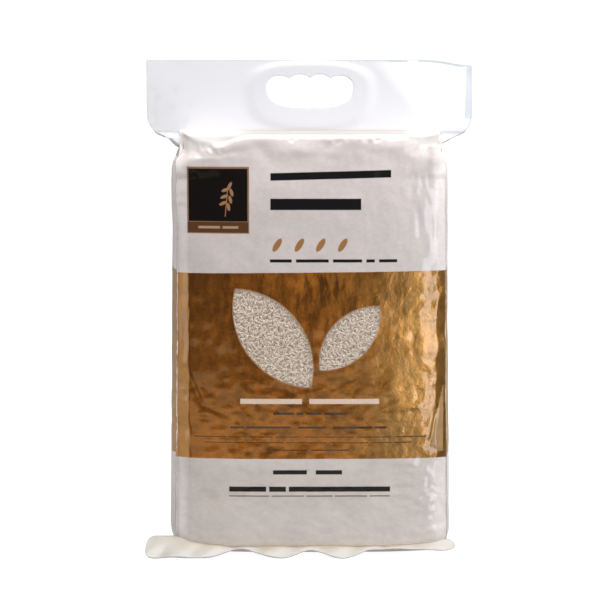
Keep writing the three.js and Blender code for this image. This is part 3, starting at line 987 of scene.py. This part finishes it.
def front_print(film, x, z):
    """What is printed on the front, in the order of printing: where it is, its ink, and how far it
    dulls the shine. First a dark panel with a bright edge, a brown foot and a generic ear of rice,
    then one leaning bar, rows of plain bars, and four marks like grains."""
    ear = [film.grain_mark(x, z, *grain, 3.4, 1.35) for grain in EAR_GRAINS]
    stem = film.oblong(x + 69.5 - (z - 290) * 0.09, z, -0.35, 0.35, 287.5, 312, 0.25)
    leaning = film.oblong(x, z - (x + 32) * 0.026, -32.5, 66.6, 317.2, 323.4)
    marks = [film.grain_mark(x, z, at_x, *MARK_LOOKS) for at_x in MARKS_AT]
    return (
        (film.oblong(x, z, *PANEL), PANEL_EDGE, 0.7),
        (film.oblong(x, z, *PANEL_FOOT), PANEL_BROWN, 0),
        (film.oblong(x, z, *PANEL_FIELD), PANEL_BLACK, 0),
        (film.larger(stem, *ear), EAR_GOLD, 0),
        (film.bars(x, z, PANEL_BARS), PANEL_PALE, 0),
        (film.larger(leaning, film.bars(x, z, BLACK_BARS)), INK, 0.5),
        (film.bars(x, z, GREY_BARS, 0.25), GREY_INK, 0),
        (film.larger(*marks), MARK_GOLD, 0),
        (film.bars(x, z, PINK_BARS), PINK_SILVER, 0),
        (film.bars(x, z, BROWN_BARS, 0.25), BROWN_INK, 0),
    )


def print_pack(name, windowed):
    """The printed film: pinkish white over rice, the metallic gold band right round the pack, and
    the print on the front. With windowed set, the leaves in the band are left clear."""
    film = Finish(name, IOR=1.5, Specular_IOR_Level=0.1, Coat_Roughness=0.08, Coat_IOR=1.5)
    vector, x, y, z = film.place()

    # 1 in front of the middle plane, 0 from a little before it backwards
    front = film.ease(y, -6.0, -9.0)

    # Plain film: slow clouds, and the grains behind it showing faintly. Painted light: the film is lighter
    # towards the shoulder, the shoulder's right corner a little paler and the right edge above the band
    # lighter as painted highlights, and the edge under the corner darker as painted shade
    clouds = film.mottle(vector, 34, 3.0)
    grains = film.cells(vector, 3.4, stretch=(1.35, 1.35, 0.85))
    corner = film.ease(x, 55, 95) * film.ease(z, 308, 332)
    edge = film.ease(x, 92, 100) * film.ease(z, 322, 332) * film.ease(z, 343, 346, 1.0, 0.0)
    tone = film.ease(clouds, 0.3, 0.7, 0.95, 1.04) * film.ease(grains, 0.1, 0.9, 1.02, 0.96)
    tone = tone * film.ease(z, 270, 330, 1.0, 1.10) * (corner * 0.04 + 1) * (1 - edge * 0.32)
    tone = tone * (film.ease(x, 97, 105) * film.ease(z, 235, 250) * 0.09 + 1)

    # The film is warmer low down. Painted light: it is paler at the foot, where the rolled base turns from
    # the light, and paler along the gusset folds as a painted highlight
    colour = film.blend(film.ease(z, 70, 92, 1.0, 0.0), FILM, LOW_FILM)
    colour = film.blend(film.ease(z, 6, 24, 1.0, 0.0), colour, LIT_FOOT_FILM)
    colour = film.blend(film.ease(film.size(x), 99, 107) * 0.75, colour, FOLD_HIGHLIGHT_FILM)
    colour = film.shade(colour, tone)

    # Creamy white where no rice lies behind, with painted light: brighter to the left, to the right and at
    # the top, and darker just under the seal
    bare = film.stored("bare")
    cream_painted_light = film.ease(x, -80, -45, 1.3, 0.78) * film.ease(x, 75, 90, 1.0, 1.6)
    cream_painted_light = cream_painted_light * film.ease(z, 351.5, 354.5, 0.86, 1.36)
    colour = film.blend(bare, colour, film.shade(CREAM, cream_painted_light))

    # The gold band, whose top edge rises a little to the right on the front
    band_foot = film.ease(z, BAND_LOW - 0.3, BAND_LOW + 0.3)
    band_top = film.ease(z - x * BAND_RISE * front, BAND_HIGH - 0.3, BAND_HIGH + 0.3, 1.0, 0.0)
    band = film.smaller(band_foot, band_top)
    gold, painted_sheen = gold_foil(film, vector, x, z)
    colour = film.blend(band, colour, gold)

    # Worn folds with a painted highlight: the metal has cracked off the band along the gusset creases,
    # and the film bared there is painted paler than the film itself, as the glint on the crease
    past = film.stored("past_crease")
    cracks = film.ease(film.mottle(vector, 5, 2.0), 0.3, 0.7, 0.0, 0.5)
    off_crease = film.size(past) * film.ease(x, -50, 50, 1.0, 0.55) + cracks
    worn_glint = film.ease(off_crease, 0.5, 1.2, 1.0, 0.0) * band * film.ease(y, -2, 2, 1.0, 0.3)
    worn_glint = worn_glint * film.ease(film.mottle(vector, 9, 2.0), 0.36, 0.5, 0.6, 1.0)
    colour = film.blend(worn_glint, colour, WORN_GLINT_PALE)
    metal = band * (1 - worn_glint)

    # The band is a dull tan left of a wavering line, and duller still on the gussets: these tans are
    # painted reflection, standing in for how the foil looks at its edges
    wavering = x + (film.mottle(vector, 13, 3.0, stretch=(1, 1, 1.5)) - 0.5) * 5
    strip = film.ease(wavering, -101.3, -100.3, 0.9, 0.0) * front * band
    gusset = film.ease(past, 0.4, 1.2) * band
    painted_tan = film.shade(film.blend(gusset, TAN_GOLD, GUSSET_GOLD), film.ease(painted_sheen, 0.3, 0.7, 0.92, 1.08))
    tan_share = film.larger(strip, gusset * 0.85) * (1 - worn_glint)
    colour = film.blend(tan_share, colour, painted_tan)
    metal = metal * (1 - tan_share * 0.75)

    # A facet pressed into the band's lower right corner, its dull colour a painted reflection
    facet = film.larger(film.size(z - 118) - 28, 101.5 - x + (z - 96) * 0.2)
    facet = film.ease(facet, -0.4, 0.4, 1.0, 0.0) * front * film.ease(x, 111.0, 112.0, 1.0, 0.0)
    colour = film.blend(facet * 0.8, colour, FACET_GOLD)
    metal = metal * (1 - facet * 0.7)

    # The print, which is not metallic and partly dull
    shine = 1
    for mask, ink, dulling in front_print(film, x, z):
        mask = mask * front
        colour = film.blend(mask, colour, ink)
        metal = metal * (1 - mask)
        if dulling:
            shine = shine - mask * dulling

    # The coat shines less on the gussets and on bare film, and breaks into glints at the corner
    shine = shine * film.ease(film.size(y), 20, 30, 0.25, 1.0) * (1 - bare * 0.75)
    glints = film.ease(film.mottle(vector, 6, 2.0, stretch=(0.6, 1, 2.2)), 0.48, 0.6, 0.15, 1.0)
    shine = shine * (1 - corner + corner * glints) * (1 - edge * 0.95)

    # Fine relief: the grains pressed against the film, its own faint orange peel, and on the foil
    # a crinkle
    peel = film.mottle(vector, 2.2, 2.0)
    crinkle = film.size(film.mottle(vector, 4.2, 2.0) - 0.5) * film.ease(x, -30, 70, 0.25, 0.55) * metal
    height = grains * -0.05 + peel * 0.035 - crinkle
    inputs = {"Base Color": colour, "Metallic": metal, "Roughness": film.ease(metal, 0.0, 1.0, 0.5, 0.3)}
    if windowed:
        outside = film.smaller(*[film.leaf(x, z, leaf) for leaf in LEAVES])
        clear = film.ease(outside, -0.35, 0.1, 1.0, 0.0) * front
        rim = film.ease(film.size(outside), 0.2, 0.9, 1.0, 0.0) * front
        inputs["Base Color"] = film.blend(clear, film.blend(rim * 0.65, colour, LEAF_RIM), LEAF_FILM)
        inputs["Metallic"] = metal * (1 - film.larger(clear, rim * 0.6))
        inputs["Alpha"] = film.ease(clear, 0.0, 1.0, 1.0, 0.36)
        shine = shine * (1 - clear * 0.75)
        height = height * (1 - clear * 0.8)
    inputs["Coat Weight"] = shine
    film.feed(film.shader, inputs)
    film.bumps(height, 0.8)
    return film.material


def milky(film, vector, x, z):
    """The colour of the clear plies: a cool white with painted shade of a soft dent towards the left."""
    dent_shade = film.ease(film.mottle(vector, 11, 2.0), 0.5, 0.68)
    dent_shade = dent_shade * film.oblong(x, z, -134, -98, 360, 393, 9.0)
    return film.blend(dent_shade * 0.6, PLIES, DENT_SHADE)


def ear_plies(name):
    """One clear ply each side of the brick's top: a little cloudy, with a grey rim under the ear's
    slanting lower edge."""
    film = Finish(name, IOR=1.5, Coat_Roughness=0.3)
    vector, x, _, z = film.place()
    clouds = film.mottle(vector, 26, 2.0)
    above = z - EAR_CORNER[1] - (film.size(x) - EAR_CORNER[0]) * 0.416
    rim = film.ease(above, 0.5, 1.3, 0.8, 0.0)
    film.feed(film.shader, {
        "Base Color": film.blend(rim, milky(film, vector, x, z), EAR_RIM),
        "Roughness": film.ease(rim, 0.0, 1.0, 0.28, 0.7),
        "Metallic": rim * 0.3,
        "Alpha": film.larger(film.ease(clouds, 0.25, 0.75, 0.42, 0.5), rim * 0.9),
        "Coat Weight": film.ease(rim, 0.0, 1.0, 0.35, 0.0),
    })
    return film.material


def header_plies(name):
    """The header's welded plies, milky with a soft gloss: a folded strip down the right edge, a
    grey rim that shows most at the right, a curled line at the top right, and the seal."""
    film = Finish(name, IOR=1.5, Coat_Roughness=0.3)
    vector, x, _, z = film.place()
    to_edge = film.stored("to_edge")
    right = film.ease(x, 20, 60)
    fold = film.ease(x + (z - 366) * -0.05, 129.0, 129.8) * film.ease(z, 362, 365)
    fold = fold * film.ease(z, 375, 409, 0.85, 0.6)
    colour = film.blend(fold, milky(film, vector, x, z), STRIP_GREY)

    # The rim is wider at the lower right, and leaves out what lies inside the shoulder
    low = film.ease(z, 364, 370, 1.0, 0.0) * right
    shown = film.larger(film.ease(z, 357.5, 359), film.ease(film.size(x), 126, 128))
    rim = film.ease(to_edge - low * 0.6, 0.25, 1.1, 1.0, 0.0) * film.larger(right, 0.3) * shown
    colour = film.blend(rim * (low * 0.2 + 0.75), colour, RIM_GREY)

    # The curled line has one gap, and ends before the corner
    curled = film.ease(to_edge, 1.4, 2.4, 1.0, 0.0) * film.ease(z, 395, 402)
    curled = curled * film.ease(x, 58, 70) * film.ease(x, 127, 132, 1.0, 0.0)
    curled = curled * film.ease(film.size(x - 85.6), 3, 5.5)
    colour = film.blend(curled, colour, CURL_GREY)
    seal = film.ease(film.size(z - 356.2), 0.3, 1.0, 1.0, 0.0)
    colour = film.blend(seal * 0.15, colour, SEAL_GREY)
    line = film.larger(curled, rim)
    film.feed(film.shader, {
        "Base Color": colour,
        "Roughness": film.ease(line, 0.0, 1.0, 0.28, 0.7),
        "Alpha": film.ease(line, 0.0, 1.0, 0.815, 0.95),
        "Coat Weight": film.ease(line, 0.0, 1.0, 0.35, 0.0),
    })
    film.bumps(film.mottle(vector, 16, 2.0) * 0.1, 0.5)
    return film.material


def sealed_film(name):
    """The same film where only film is, at the bottom seal: creamy white, warmer towards its root,
    with a thin grey rim and lengthwise crimps."""
    film = Finish(name, IOR=1.5, Coat_Weight=0.4, Coat_Roughness=0.15)
    vector, x, _, z = film.place()
    clouds = film.mottle(vector, 14, 3.0, stretch=(1, 1, 0.5))
    warm = film.ease(z, 1.5, 10) * film.ease(film.size(x + 8), 75, 120, 1.0, 0.3)
    rim = film.ease(film.stored("to_edge"), 0.2, 0.9, 0.7, 0.0)
    colour = film.blend(film.ease(clouds, 0.3, 0.7), FIN_DARK, FIN_PALE)
    colour = film.blend(warm, colour, FIN_WARM)
    colour = film.blend(rim, colour, FIN_RIM)
    film.feed(film.shader, {"Base Color": colour, "Roughness": film.ease(clouds, 0.3, 0.7, 0.3, 0.42)})
    film.bumps(film.mottle(vector, 3.5, 2.0, stretch=(2, 1, 0.6)) * 0.22, 0.7)
    return film.material


def moulded_polythene(name):
    """The handle's moulded polythene: white with a cool cast and a fine moulded skin."""
    white = Finish(name, IOR=1.5, Roughness=0.42, Coat_Weight=0.1)
    vector = white.place()[0]
    tone = white.ease(white.mottle(vector, 8, 2.0), 0.3, 0.7, 0.985, 1.01)
    white.feed(white.shader, {"Base Color": white.shade(POLYTHENE, tone)})
    white.bumps(white.mottle(vector, 0.6, 2.0) * 0.02, 0.4)
    return white.material


def rice_finish(name, dark, light, coat):
    """Milled rice: a warm white between these two colours from grain to grain, with a dull shine
    where it has a coat."""
    rice = Finish(name, IOR=1.48, Coat_Weight=coat, Coat_Roughness=0.18)
    vector = rice.place()[0]
    tone = rice.ease(rice.mottle(vector, 1.8, 1.0), 0.36, 0.64)
    rice.feed(rice.shader, {
        "Base Color": rice.blend(tone, dark, light),
        "Roughness": rice.ease(tone, 0.0, 1.0, 0.5, 0.36),
    })
    rice.bumps(rice.mottle(vector, 0.8, 2.0) * 0.08, 0.6)
    return rice.material


# ------------------------------------------------------------------ floor, light and camera
# The floor's glow, and its share of that as a light; the lens in millimetres, and metres away
FLOOR_GLOW = 0.9
FLOOR_BOUNCE = 0.21
LENS = 136.8
CAMERA_AWAY = 1.9228
CAMERA_RISE = np.radians(8.0)


def add_floor():
    """A plain pale floor, wide behind and beside the pack and short in front of it: white to look
    at, and a gentler light on what stands on it."""
    wide, front, back = 9, -0.18, 14
    corners = [(-wide, front, 0), (wide, front, 0), (wide, back, 0), (-wide, back, 0)]
    mesh = bpy.data.meshes.new("floor")
    mesh.from_pydata(corners, [], [(0, 1, 2, 3)])
    floor = bpy.data.objects.new("floor", mesh)
    bpy.context.scene.collection.objects.link(floor)
    pale = Finish("pale_floor", Base_Color=(0.3, 0.3, 0.3), Roughness=0.75, Emission_Strength=FLOOR_GLOW)
    y = pale.place()[2]
    seen = pale.node("LightPath", output="Is Camera Ray")
    glow = pale.ease(y, 100, 1500, 1.0, 1.16) * pale.ease(seen, 0.0, 1.0, FLOOR_BOUNCE, 1.0)
    pale.feed(pale.shader, {"Emission Color": pale.shade((1.0, 1.0, 1.0), glow)})
    mesh.materials.append(pale.material)


def softbox(name, at, aim, size, power, tint=(1, 1, 1)):
    """A rectangular soft light of this width and height in metres, turned to face a point."""
    lamp = bpy.data.lights.new(name, "AREA")
    lamp.shape = "RECTANGLE"
    lamp.size, lamp.size_y = size
    lamp.energy = power
    lamp.color = tint
    made = bpy.data.objects.new(name, lamp)
    made.location = at
    made.rotation_mode = "QUATERNION"
    made.rotation_quaternion = (Vector(aim) - Vector(at)).to_track_quat("-Z", "Y")
    made.visible_camera = False
    bpy.context.scene.collection.objects.link(made)


def light_world():
    """White to look at, dim as a light, so the soft boxes shape the pack."""
    world = bpy.data.worlds.new("studio")
    bpy.context.scene.world = world
    world.use_nodes = True
    nodes, links = world.node_tree.nodes, world.node_tree.links
    nodes.clear()
    seen, dim = nodes.new("ShaderNodeBackground"), nodes.new("ShaderNodeBackground")
    seen.inputs["Color"].default_value = (1, 1, 1, 1)
    seen.inputs["Strength"].default_value = 1.05
    dim.inputs["Color"].default_value = (1, 0.98, 0.96, 1)
    dim.inputs["Strength"].default_value = 0.085
    path, pick = nodes.new("ShaderNodeLightPath"), nodes.new("ShaderNodeMixShader")
    out = nodes.new("ShaderNodeOutputWorld")
    links.new(path.outputs["Is Camera Ray"], pick.inputs[0])
    links.new(dim.outputs[0], pick.inputs[1])
    links.new(seen.outputs[0], pick.inputs[2])
    links.new(pick.outputs[0], out.inputs["Surface"])


def add_camera():
    """A long lens a few degrees above level, facing the printed front."""
    lens = bpy.data.cameras.new("camera")
    lens.lens, lens.sensor_width = LENS, 36
    lens.dof.use_dof = False
    camera = bpy.data.objects.new("camera", lens)
    aim = Vector((CENTRE[0] - 0.0082, CENTRE[1], 0.213))
    away = Vector((0, -float(np.cos(CAMERA_RISE)), float(np.sin(CAMERA_RISE))))
    camera.location = aim + CAMERA_AWAY * away
    camera.rotation_mode = "QUATERNION"
    camera.rotation_quaternion = (aim - camera.location).to_track_quat("-Z", "Y")
    bpy.context.scene.collection.objects.link(camera)
    bpy.context.scene.camera = camera


# ------------------------------------------------------------------ the pack and its setting
printed = print_pack("printed_film", False)
windowed = print_pack("leaf_window_film", True)
film = make_film(printed, windowed, ear_plies("clear_ear_film"))
header = make_header(header_plies("milky_header_film"))
fin = make_fin(sealed_film("sealed_film"))
handle = make_handle(moulded_polythene("white_polythene"))
grains = make_grains(rice_finish("rice_grain", GRAIN_DARK, GRAIN_LIGHT, 0.35))
bed = make_rice_bed(rice_finish("packed_rice_shade", BED_DARK, BED_LIGHT, 0.0))
for made in (film, header, fin, grains, bed):
    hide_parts("bag")
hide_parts("handle")

add_floor()
light_world()
pack_middle = (float(CENTRE[0]), float(CENTRE[1]), 0.21)
softbox("top", (0.0, 0.15, 1.45), pack_middle, (1.2, 0.8), 5.8)
softbox("overhead", (0.0, -0.7, 1.45), pack_middle, (1.3, 0.8), 20.5)
softbox("right_strip", (0.44, -0.70, 0.30), (0.44, 0, 0.26), (0.13, 0.9), 1.5, (0.9, 0.98, 1.1))
softbox("right_fill", (0.27, -0.75, 0.30), (0.27, 0, 0.26), (0.14, 0.7), 0.1)
softbox("left_front", (-0.93, -0.47, 0.32), pack_middle, (0.18, 0.8), 0.5, (0.88, 0.96, 1.1))
softbox("low_front", (-0.1, -1.3, -0.19), pack_middle, (1.3, 0.22), 0.6, (1.05, 1.0, 0.65))
softbox("right_side", (1.5, -0.45, 0.9), pack_middle, (0.9, 1.2), 20)
softbox("left_side", (-1.5, -0.45, 0.9), pack_middle, (0.9, 1.2), 8, (1.03, 1.0, 0.98))
softbox("behind", (0.0, 1.6, 0.9), pack_middle, (1.4, 0.8), 8)
add_camera()
bpy.context.scene.view_settings.view_transform = "Standard"
